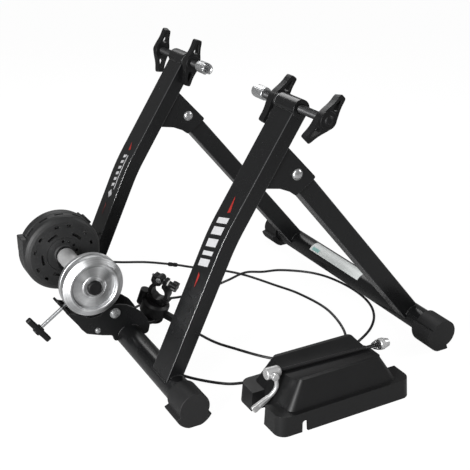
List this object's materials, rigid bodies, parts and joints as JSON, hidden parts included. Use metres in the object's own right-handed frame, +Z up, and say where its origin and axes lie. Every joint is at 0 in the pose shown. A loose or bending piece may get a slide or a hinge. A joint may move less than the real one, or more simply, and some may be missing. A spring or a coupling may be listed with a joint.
{
  "type": "bike trainer",
  "caption": "Folding magnetic bike trainer with screw spindles and cups, a swinging flywheel unit, a cable shifter, a front wheel riser block and a quick-release skewer.",
  "frame": {"origin": "on the floor, in the middle of the box round all rigid pieces as they stand", "axes": "+X from the resistance unit to the front cross tube, +Y to the side of the magnet housing, +Z up"},
  "size_m": [0.56, 0.5802, 0.4072],
  "materials": {
    "black_paint": "satin",
    "black_rubber": "matte",
    "black_plastic": "matte",
    "grey_steel": "satin",
    "black_steel": "satin",
    "bright_steel": "polished",
    "turned_metal": "turned",
    "white_nylon": "matte"
  },
  "bodies": {
    "frame": {"rear_cross_tube": "black_paint", "unit_bracket": "black_paint", "swing_bolt": "bright_steel", "bracket_bolt": "bright_steel", "control_cable": "black_rubber", "cable_joiner": "black_plastic", "near_upright": "black_paint", "near_spindle_sleeve": "black_paint", "near_gusset": "black_paint", "near_leg_bolt": "bright_steel", "near_rear_foot": "black_rubber", "far_upright": "black_paint", "far_spindle_sleeve": "black_paint", "far_gusset": "black_paint", "far_leg_bolt": "bright_steel", "far_rear_foot": "black_rubber"},
    "front_frame": {"front_cross_tube": "black_paint", "near_leg": "black_paint", "near_front_foot": "black_rubber", "far_leg": "black_paint", "far_front_foot": "black_rubber"},
    "unit": {"swing_arm": "black_paint", "housing_front": "black_plastic", "housing_back": "black_plastic", "near_bearing": "grey_steel", "far_bearing": "grey_steel", "cable_boot": "black_rubber"},
    "rotor": {"roller_shaft": "grey_steel", "roller": "bright_steel", "flywheel": "turned_metal", "flywheel_cap": "black_plastic", "rotor_disc": "turned_metal"},
    "carrier": {"magnet_carrier": "black_plastic"},
    "adjuster": {"adjuster_screw": "bright_steel"},
    "adjuster_grip": {"adjuster_knob": "black_plastic"},
    "shifter": {"shifter_body": "black_plastic", "clamp_nut": "bright_steel"},
    "thumb_lever": {"shifter_lever": "black_plastic", "shifter_dial": "black_plastic"},
    "jaw": {"clamp_jaw": "black_plastic"},
    "clamp_push": {"clamp_washer": "white_nylon"},
    "clamp_grip": {"clamp_screw": "bright_steel", "clamp_knob": "black_plastic"},
    "riser": {"riser_block": "black_plastic"},
    "skewer": {"skewer_rod": "bright_steel", "skewer_barrel": "turned_metal", "skewer_spring": "bright_steel"},
    "skewer_cam": {"skewer_lever": "turned_metal"},
    "skewer_end": {"skewer_nut": "bright_steel"},
    "near_cup": {"near_axle_cup": "bright_steel"},
    "near_spindle": {"near_spindle_screw": "black_steel", "near_tee_handle": "black_plastic"},
    "near_washer": {"near_lock_washer": "bright_steel"},
    "near_lock": {"near_lock_wing": "black_plastic"},
    "far_cup": {"far_axle_cup": "bright_steel"},
    "far_spindle": {"far_spindle_screw": "black_steel", "far_tee_handle": "black_plastic"},
    "far_washer": {"far_lock_washer": "bright_steel"},
    "far_lock": {"far_lock_wing": "black_plastic"}
  },
  "joints": [
    {"name": "leg_fold", "type": "hinge", "parent": "frame", "child": "front_frame", "pos_m": [0.03975, 0.03277, 0.286], "axis": [0, 1, 0], "range_deg": [0, 62], "deforming": ["control_cable"]},
    {"name": "near_spindle_feed", "type": "slide", "parent": "frame", "child": "near_cup", "axis": [0, 1, 0], "range_m": [-0.01, 0.015]},
    {"name": "near_spindle_turn", "type": "hinge", "parent": "near_cup", "child": "near_spindle", "pos_m": [0.03975, -0.16723, 0.372], "axis": [0, 1, 0], "range_deg": [-1810, 2710]},
    {"name": "near_lock_feed", "type": "slide", "parent": "frame", "child": "near_washer", "axis": [0, 1, 0], "range_m": [0, 0.008]},
    {"name": "near_lock_turn", "type": "hinge", "parent": "near_washer", "child": "near_lock", "pos_m": [0.03975, -0.09323, 0.372], "axis": [0, 1, 0], "range_deg": [0, 1440]},
    {"name": "far_spindle_feed", "type": "slide", "parent": "frame", "child": "far_cup", "axis": [0, -1, 0], "range_m": [-0.01, 0.015]},
    {"name": "far_spindle_turn", "type": "hinge", "parent": "far_cup", "child": "far_spindle", "pos_m": [0.03975, 0.23278, 0.372], "axis": [0, -1, 0], "range_deg": [-1810, 2710]},
    {"name": "far_lock_feed", "type": "slide", "parent": "frame", "child": "far_washer", "axis": [0, -1, 0], "range_m": [0, 0.008]},
    {"name": "far_lock_turn", "type": "hinge", "parent": "far_washer", "child": "far_lock", "pos_m": [0.03975, 0.15877, 0.372], "axis": [0, -1, 0], "range_deg": [0, 1440]},
    {"name": "adjuster_turn", "type": "hinge", "parent": "adjuster", "child": "adjuster_grip", "pos_m": [-0.22725, 0.03277, 0.0808], "axis": [0.8192, 0, 0.5736], "range_deg": [-1250, 2000]},
    {"name": "adjuster_feed", "type": "slide", "parent": "frame", "child": "adjuster", "axis": [0.8192, 0, 0.5736], "range_m": [-0.00435, 0.00695]},
    {"name": "unit_swing", "type": "hinge", "parent": "frame", "child": "unit", "pos_m": [-0.15945, 0.03277, 0.0675], "axis": [0, 1, 0], "range_deg": [-5, 8]},
    {"name": "rotor_spin", "type": "hinge", "parent": "unit", "child": "rotor", "pos_m": [-0.20325, 0.03277, 0.138], "axis": [0, 1, 0], "continuous": true},
    {"name": "magnet_turn", "type": "hinge", "parent": "unit", "child": "carrier", "pos_m": [-0.20325, 0.11077, 0.138], "axis": [0, 1, 0], "range_deg": [0, 24]},
    {"name": "shifter_lift", "type": "slide", "parent": "frame", "child": "shifter", "axis": [0, 0, 1], "range_m": [0, 0.15]},
    {"name": "lever_turn", "type": "hinge", "parent": "shifter", "child": "thumb_lever", "pos_m": [-0.07309, 0.07885, 0.01304], "axis": [0.2106, -0.2695, 0.9397], "range_deg": [0, 80]},
    {"name": "clamp_turn", "type": "hinge", "parent": "clamp_push", "child": "clamp_grip", "pos_m": [-0.05284, 0.05293, 0.06833], "axis": [0.5785, -0.7405, -0.342], "range_deg": [0, 722]},
    {"name": "clamp_feed", "type": "slide", "parent": "shifter", "child": "clamp_push", "axis": [0.5785, -0.7405, -0.342], "range_m": [0, 0.0016]},
    {"name": "jaw_open", "type": "hinge", "parent": "shifter", "child": "jaw", "pos_m": [-0.05674, 0.05792, 0.03924], "axis": [0.788, 0.6157, 0], "range_deg": [0, 3.06]},
    {"name": "riser_lift", "type": "slide", "parent": "frame", "child": "riser", "axis": [0, 0, 1], "range_m": [0, 0.1]},
    {"name": "skewer_lift", "type": "slide", "parent": "riser", "child": "skewer", "axis": [0, 0, 1], "range_m": [0, 0.06]},
    {"name": "skewer_lever_flip", "type": "hinge", "parent": "skewer", "child": "skewer_cam", "pos_m": [-0.04118, -0.23196, 0.0583], "axis": [0.0436, 0.999, 0], "range_deg": [0, 150]},
    {"name": "skewer_nut_turn", "type": "hinge", "parent": "skewer", "child": "skewer_end", "pos_m": [0.13016, -0.22793, 0.0583], "axis": [0.999, -0.0436, 0], "range_deg": [0, 360]}
  ],
  "couplings": [
    {"joint": "near_spindle_turn", "follows": "near_spindle_feed", "rad_per_m": 3144.7},
    {"joint": "near_lock_feed", "follows": "near_lock_turn", "m_per_rad": 0.000318},
    {"joint": "far_spindle_turn", "follows": "far_spindle_feed", "rad_per_m": 3144.7},
    {"joint": "far_lock_feed", "follows": "far_lock_turn", "m_per_rad": 0.000318},
    {"joint": "adjuster_feed", "follows": "adjuster_turn", "m_per_rad": 0.00019894},
    {"joint": "unit_swing", "follows": "adjuster_turn", "ratio": 0.0039949},
    {"joint": "magnet_turn", "follows": "lever_turn", "ratio": 0.3},
    {"joint": "clamp_turn", "follows": "clamp_feed", "rad_per_m": 7855.5},
    {"joint": "jaw_open", "follows": "clamp_feed", "rad_per_m": 33.276}
  ]
}
